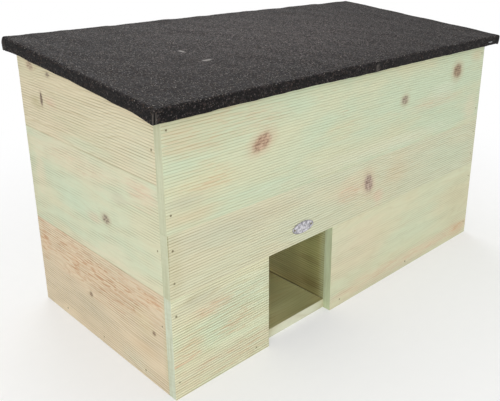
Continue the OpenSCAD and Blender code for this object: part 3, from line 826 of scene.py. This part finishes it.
def felt_material():
    """Mineral felt: dark bitumen with grey, brown and pale granules and painted glints, nearly bare and
    darker with painted shade on the folds, paler with painted light in the middle, and near black with
    painted shade in the slits.
    """
    graph = Graph("roofing_felt")
    place = graph.place()
    fold = graph.attribute("fold")
    shade, warm = graph.cells(place, GRANULES)
    clump = graph.noise(place, 300, 3, 0.6)
    cloud = graph.noise(graph.scale(place, (7, 9, 9)), detail=3)
    level = graph.math("MULTIPLY_ADD", shade, 0.62, graph.times(clump, 0.48))
    # Painted light: the felt is paler towards the roof's middle and darker towards its ends
    far = graph.length(graph.scale(place, PAINTED_GLOW_SCALE))
    level = graph.math("ADD", level, graph.span(far, *PAINTED_GLOW_FADE, -0.045, 0.078))
    colour = graph.ramp(level, FELT_SHADES)
    colour = graph.mix(graph.span(warm, 0.9, 0.98, 0, 0.4), colour, FELT_BROWN)
    colour = graph.mix(graph.span(warm, 0.1, 0.02, 0, 0.4), colour, FELT_BLUE)
    colour = graph.mix(graph.span(cloud, 0.35, 0.7, 0, 0.22), colour, FELT_DUST)
    # Nearly bare bitumen and painted shade darken the felt as it turns from facing up
    shadow = graph.mix(graph.span(warm, 0.25, 0.75), *FELT_FOLD_BARE_AND_SHADE)
    colour = graph.darkened_by(graph.span(fold, 0.25, 0.95), colour, shadow)
    # Pale specks, partly granules and partly painted glints, fewer on the folds
    speck = graph.span(graph.cells(place, SPECKS_AND_GLINTS)[0], 0.95, 0.98, 0, 0.75)
    colour = graph.mix(graph.times(speck, graph.span(fold, 0.4, 0.9, 1, 0.3)), colour, FELT_SPECK_AND_GLINT)
    for along, up, half_along, half_up in SCUFFS:
        half = (half_along * MM, half_up * MM, SCUFF_DEPTH)
        size = graph.length(graph.fit(place, (along * MM, up * MM, 0), half))
        rubbed = graph.math("MULTIPLY_ADD", clump, -0.8, size)
        colour = graph.mix(graph.span(rubbed, 0.75, 0.1, 0, 0.75), colour, FELT_RUBBED)
    colour = graph.mix(graph.attribute("lip"), colour, FELT_LIP)
    # Painted shade: the slits are near black
    colour = graph.mix(graph.attribute("slit"), colour, FELT_SLIT)
    height = graph.math("MULTIPLY_ADD", shade, 0.7, clump)
    return graph.finish(Base_Color=colour, Roughness=graph.span(warm, 0, 1, 0.72, 0.95),
                        Specular_IOR_Level=0.2, Normal=graph.bump(height, 0.6, 0.5 * MM))


# How far the felt's top lies off the solid at each corner, by the signs of x and y
TOP_RISE = {(-1, -1): 0.0, (1, -1): 0.4, (-1, 1): 0.7, (1, 1): -0.8}
# How far its front and left lower edges lie above the solid's, at places along them
FRONT_EDGE = [(-300, -1), (-255, -1), (-235, 0), (-200, 0), (-100, 1), (-25, 0), (55, 0.5), (280, 0.5)]
LEFT_EDGE = [(-300, 1), (-290, 1), (-265, 0), (-235, 0), (-160, 1), (-115, 0), (-70, -0.5), (-45, 0)]
# The same all along the right and the rear edge, and the size and length of their waves
RIGHT_LIFT = 0.2
REAR_LIFT = 1.0
EDGE_WAVE = 0.16
EDGE_WAVES = (0.07, 0.07)
# Past the walls the rear skirt hangs as low as the others: from where, and over what length
REAR_CLEAR = (298 * MM, 5 * MM)
# How the felt bulges on its top, with some grit, and on its sides, and lies close at the rear
TOP_SWELL = 0.22
TOP_WAVES = (0.05, 0.05)
TOP_GRIT = 0.08
TOP_FACING = 0.7
SIDE_SWELL = 0.3
SIDE_WAVES = (0.03,) * 3
REAR_SINK = 0.35 * MM
REAR_SINK_MOST = 0.9 * MM
# Where felt folded double at a corner stands up, how high and how far in
CORNER_RISE = {(-1, 1): 1.2}
CORNER_REACH = 12 * MM
# The flap of each corner: how far it hangs, and how far its felt swells out
FLAP_HANG = {(-1, -1): 3.1, (-1, 1): 1.8, (1, -1): 1.8, (1, 1): 1.0}
FLAP_REACH = 20 * MM
FLAP_SWELL = 1.1 * MM
SWELL_REACH = 22 * MM
# The slit of each folded corner, by the signs of x and y: how far round onto the end it lies
SLITS = {(-1, -1): 0.5, (-1, 1): 6.5, (1, 1): 5.0}
SLIT_HALF = 0.7 * MM
SLIT_DEPTH = 1.2 * MM
LIP_STEP = 1.5 * MM
LIP_SHARE = 0.55


def turned_to(out, axis, sign):
    """How far each point faces to one side."""
    return np.clip(sign * out[:, axis], 0, 1) ** 2


def edge_lift(x, u, out, rng):
    """How far each point of the felt's lower edge lies above the solid's."""
    wave = EDGE_WAVE * soft_noise(rng, (x, u), EDGE_WAVES, 9)
    front_edge = np.interp(x, *(np.array(FRONT_EDGE) * (MM, 1)).T)
    left_edge = np.interp(u, *(np.array(LEFT_EDGE) * (MM, 1)).T)
    over_wall = np.clip((REAR_CLEAR[0] - np.abs(x)) / REAR_CLEAR[1], 0, 1)
    lift = left_edge * turned_to(out, 0, -1) + front_edge * turned_to(out, 1, -1)
    lift += (RIGHT_LIFT + wave) * turned_to(out, 0, 1)
    return lift + (REAR_LIFT * over_wall + wave) * turned_to(out, 1, 1)


def felt_swell(x, u, n, out, rng):
    """How far the felt bulges out of its even form."""
    top = TOP_SWELL * soft_noise(rng, (x, u), TOP_WAVES, 9) + rng.normal(0, TOP_GRIT, len(x))
    side = SIDE_SWELL * soft_noise(rng, (x, u, n), SIDE_WAVES, 9)
    swell = MM * np.where(out[:, 2] > TOP_FACING, top, side)
    sunk = np.clip(swell - REAR_SINK, -REAR_SINK_MOST, 0)
    return np.where(turned_to(out, 1, 1) > 0.5, sunk, swell)


def felt_form(points, out, low, high, rng):
    """The felt's points as it lies, uneven, swollen and slit at its corners, and how much each point
    is in a slit and on a slit's lip."""
    x, u, n = points.T
    reach = np.clip((high[2] - n) / (high[2] - low[2]), 0, 1)
    belly = np.sin(0.5 * math.pi * np.clip(1.8 * reach, 0, 1))
    down = np.clip(4 * reach - 0.5, 0, 1)
    lift = edge_lift(x, u, out, rng)
    swell = felt_swell(x, u, n, out, rng)
    rise, slit, lip = np.zeros((3, len(x)))
    for corner, hang in FLAP_HANG.items():
        far = [np.abs(points[:, i] - (high if corner[i] > 0 else low)[i]) for i in (0, 1)]
        near = (1 - far[0] / (high[0] - low[0])) * (1 - far[1] / (high[1] - low[1]))
        side = turned_to(out, 0, corner[0])
        rise += TOP_RISE[corner] * near + CORNER_RISE.get(corner, 0) * bell(np.hypot(*far), CORNER_REACH)
        swell += FLAP_SWELL * side * belly * bell(far[1], SWELL_REACH)
        lift -= hang * side * bell(far[1], FLAP_REACH)
        if corner in SLITS:
            off_slit = far[1] - far[0] - SLITS[corner] * MM
            slit += down * bell(off_slit, SLIT_HALF)
            lip += LIP_SHARE * down * bell(np.abs(off_slit) - LIP_STEP, SLIT_HALF)
    slit = np.clip(slit, 0, 1)
    moved = points + out * (swell - SLIT_DEPTH * slit)[:, None]
    moved[:, 2] += MM * (rise * (1 - reach) + lift * reach ** 1.5)
    return moved, slit, np.clip(lip - slit, 0, 1)


def felt_rows(first, last):
    """Rows of the felt's lattice: fine at its two edges and wider between them."""
    near = np.arange(0, FELT_EDGE, FELT_FINE)
    middle = even_rows(first + FELT_EDGE, last - FELT_EDGE, FELT_GRID)
    return np.concatenate([first + near, middle, (last - near)[::-1]])


def felt():
    """The felt skin: bent over the panel's edges, with a wavy lower edge and slit corners."""
    joint = next(j for j in frame["joints"] if j["name"] == "roof_lift")
    to_world = Matrix.Translation(joint["pos_m"]) @ Matrix.Rotation(ROOF_PITCH, 4, "X")
    to_roof = np.array(to_world.inverted())
    shape = node_points("roof_felt") @ to_roof[:3, :3].T + to_roof[:3, 3]
    low, high = shape.min(0), shape.max(0)
    points, sides = lattice_shell([felt_rows(low[0], high[0]), felt_rows(low[1], high[1]),
                                   np.linspace(low[2], high[2], FELT_ROWS)])
    # The box is taken to go on downwards, so that only its upper edges are rounded
    points, out = rounded(points, low - np.array([0, 0, 1]), high, FELT_BEND)
    points, slit, lip = felt_form(points, out, low, high, np.random.default_rng([SEED, 5]))

    faces = np.concatenate([quads for side, quads in sides.items() if side != "-z"])
    used = np.unique(faces)
    renumber = np.full(len(points), -1)
    renumber[used] = np.arange(len(used))
    world = np.array(to_world)
    points = points[used] @ world[:3, :3].T + world[:3, 3]
    piece = mesh_object("felt_skin", points.tolist(), renumber[faces].tolist())
    # How far the felt turns from facing up: the material darkens it there with bare bitumen and painted
    # shade, and gives it fewer specks
    fold = 1 - turned_to(out, 2, 1)
    store(piece, fold=fold[used], slit=slit[used], lip=lip[used])
    thick = piece.modifiers.new("thickness", "SOLIDIFY")
    thick.thickness = FELT_THICKNESS
    thick.offset = -1
    piece.data.materials.append(felt_material())
    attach(piece, "lid")
    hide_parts("roof_felt")


# The badge's section: distance in from the outline and height off the board, then the face's share
# of the last outline and its height, and the height of the middle
BADGE_EDGE = [(0.0, 0.0), (0.0, 0.95), (0.12, 1.22), (0.38, 1.38), (0.7, 1.4), (1.0, 1.32), (1.25, 1.08),
              (1.42, 0.84), (1.65, 0.78), (1.9, 0.8)]
BADGE_FACE = [(0.9, 0.83), (0.7, 0.86), (0.45, 0.9), (0.2, 0.92)]
BADGE_MIDDLE = 0.93
BADGE_TURNS = 96
# The rim starts at this height and is full this much higher
BADGE_RIM = (0.85, 0.5)
BADGE_BRIGHT = srgb(220, 218, 223)
BADGE_DULL = srgb(130, 128, 136)
BADGE_RIM_TONE = srgb(134, 131, 138)


def badge():
    """A plain oval metal plate with a rolled rim and a slightly domed face."""
    low, high = (np.array(corner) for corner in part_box("badge_plate"))
    middle, half = (low + high) / 2, (high - low) / 2
    angle = np.linspace(0, 2 * math.pi, BADGE_TURNS, endpoint=False)
    outline = np.stack([half[0] * np.cos(angle), half[2] * np.sin(angle)], 1)
    normal = np.stack([np.cos(angle) / half[0], np.sin(angle) / half[2]], 1)
    normal /= np.linalg.norm(normal, axis=1, keepdims=True)
    rings = [(outline - normal * inset * MM, height) for inset, height in BADGE_EDGE]
    face = rings[-1][0]
    rings += [(face * share, height) for share, height in BADGE_FACE]
    points = [(middle[0] + a, high[1] - height * MM, middle[2] + b)
              for ring, height in rings for a, b in ring]
    points.append((middle[0], high[1] - BADGE_MIDDLE * MM, middle[2]))
    number = np.arange(len(rings) * BADGE_TURNS).reshape(-1, BADGE_TURNS)
    beside = np.roll(number, -1, axis=1)
    walls = np.stack([number[:-1], beside[:-1], beside[1:], number[1:]], 2).reshape(-1, 4)
    dome = [(a, b, len(points) - 1) for a, b in zip(number[-1].tolist(), beside[-1].tolist())]
    faces = walls.tolist() + dome + [number[0, ::-1].tolist()]
    piece = mesh_object("badge_oval", points, faces)
    height = np.array([high[1] - point[1] for point in points])
    store(piece, raised=np.clip((height - BADGE_RIM[0] * MM) / (BADGE_RIM[1] * MM), 0, 1))
    piece.data.materials.append(badge_material())
    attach(piece, "box")
    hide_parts("badge_plate")


def badge_material():
    """Silvery plated metal, mottled and brushed along its length, with a darker rolled rim."""
    graph = Graph("badge_metal")
    place = graph.place()
    brushed = graph.noise(graph.scale(place, (250, 5000, 5000)), detail=2)
    stain = graph.noise(place, 280, 3, 0.6)
    colour = graph.mix(graph.span(stain, 0.38, 0.66), BADGE_BRIGHT, BADGE_DULL)
    colour = graph.mix(graph.times(graph.attribute("raised"), 0.65), colour, BADGE_RIM_TONE)
    return graph.finish(Base_Color=colour, Metallic=0.85, Roughness=graph.span(brushed, 0.2, 0.8, 0.3, 0.5),
                        Normal=graph.bump(brushed, 0.2, 0.1 * MM))


# Two tints of the plywood, its ring lines and its fibres
PLY_TINTS = (srgb(216, 190, 148), srgb(228, 208, 172))
PLY_LINE = srgb(190, 152, 106)
PLY_FIBRE = srgb(150, 120, 84)
PLY_RINGS = 26


def plywood():
    """Rotary-cut plywood for the panel under the felt."""
    graph = Graph("plywood")
    place = graph.place()
    figure = graph.noise(graph.scale(place, (1.6, 9, 9)), detail=3, distortion=1.2)
    rings = graph.math("FRACT", graph.times(figure, PLY_RINGS))
    line = graph.span(rings, 0.55, 0.95)
    fibre = graph.noise(graph.scale(place, (60, 1800, 1800)), detail=3)
    colour = graph.mix(figure, *PLY_TINTS)
    colour = graph.mix(graph.times(line, 0.4), colour, PLY_LINE)
    colour = graph.mix(graph.span(fibre, 0.3, 0.7, 0.2, 0), colour, PLY_FIBRE)
    return graph.finish(Base_Color=colour, Roughness=graph.span(fibre, 0.2, 0.8, 0.55, 0.72),
                        Normal=graph.bump(fibre, 0.3, 0.2 * MM))


def metal(name, bright, dull, scale, rough, metallic=1.0):
    """Plated steel, mottled between a bright and a dull tone at a scale per metre."""
    graph = Graph(name)
    place = graph.place()
    mottle = graph.noise(place, scale, 4, 0.65)
    scratch = graph.noise(graph.scale(place, (300, 4000, 2500)), detail=2)
    colour = graph.mix(graph.span(mottle, 0.35, 0.7), srgb(*bright), srgb(*dull))
    finish = graph.span(mottle, 0.3, 0.75, rough, rough + 0.2)
    return graph.finish(Base_Color=colour, Metallic=metallic, Roughness=finish,
                        Normal=graph.bump(scratch, 0.15, 0.1 * MM))


def dress(names, material):
    """Gives a material to CAD nodes that keep their shape."""
    for name in names:
        data = frame["nodes"][name].data
        data.materials.clear()
        data.materials.append(material)


FLOOR_TONES = (srgb(246, 246, 246), srgb(250, 250, 250))


def floor_material():
    """A pale floor that keeps the shadow near the object and goes to white further out."""
    graph = Graph("floor")
    place = graph.place()
    colour = graph.mix(graph.noise(place, 60, 2), *FLOOR_TONES)
    graph.finish(Base_Color=colour, Roughness=0.9, Specular_IOR_Level=0.1)
    share = graph.times(graph.seen(), graph.span(graph.length(place), *FLOOR_FADE, *FLOOR_WHITE))
    white = graph.node("ShaderNodeEmission").outputs[0]
    blend = graph.node("ShaderNodeMixShader", {0: share, 1: graph.shader.outputs[0], 2: white})
    graph.feed(graph.surface, blend.outputs[0])
    return graph.owner


def set_floor():
    bpy.ops.mesh.primitive_circle_add(vertices=96, radius=FLOOR_RADIUS, fill_type="NGON")
    ground = bpy.context.object
    ground.name = "studio_floor"
    ground.data.materials.append(floor_material())


def set_world():
    """Surroundings that look white and light the object at a plain level."""
    graph = Graph("studio", "worlds")
    strength = graph.span(graph.seen(), 0, 1, WORLD_LIGHT, 1)
    bpy.context.scene.world = graph.finish(Color=(1, 1, 1, 1), Strength=strength)


def set_lamps():
    for name, place, size, watts in LAMPS:
        lamp = bpy.data.lights.new(name, "AREA")
        lamp.shape = "DISK"
        lamp.size = size
        lamp.energy = watts
        obj = link(bpy.data.objects.new(name, lamp))
        obj.location = place
        obj.rotation_euler = (Vector(LAMP_AIM) - Vector(place)).to_track_quat("-Z", "Y").to_euler()


def set_camera():
    """The camera at the photograph's place, from its azimuth, elevation and roll."""
    data = bpy.data.cameras.new("camera")
    data.lens = CAMERA_LENS
    data.sensor_width = CAMERA_SENSOR
    data.sensor_fit = "HORIZONTAL"
    data.shift_x, data.shift_y = CAMERA_SHIFT
    data.clip_start = CAMERA_NEAR
    camera = link(bpy.data.objects.new("camera", data))
    camera.matrix_world = (Matrix.Translation(CAMERA_PLACE)
                           @ Matrix.Rotation(math.radians(CAMERA_AZIMUTH), 4, "Z")
                           @ Matrix.Rotation(math.radians(90 - CAMERA_ELEVATION), 4, "X")
                           @ Matrix.Rotation(math.radians(CAMERA_ROLL), 4, "Z"))
    bpy.context.scene.camera = camera


set_floor()
set_world()
set_lamps()
set_camera()
bpy.context.scene.view_settings.view_transform = "Standard"

for node, (axes, sawn) in BOARDS.items():
    board(node, axes, sawn)
for node, (axes, sawn) in INNER_BOARDS.items():
    board(node, axes, sawn)
felt()
badge()
dress(["roof_panel"], plywood())
dress([*NAIL_NODES, "badge_pins"], metal("nail_steel", (154, 148, 118), (116, 108, 84), 900, 0.5, 0.5))
dress(["felt_staples"], metal("staple_steel", (196, 198, 200), (150, 152, 154), 500, 0.28))
dress([n for n in frame["nodes"] if "hinge" in n],
      metal("hinge_steel", (166, 168, 170), (112, 114, 116), 500, 0.34))
dress(["hinge_wall_screws", "hinge_roof_screws"],
      metal("screw_steel", (178, 166, 132), (134, 122, 92), 700, 0.32))
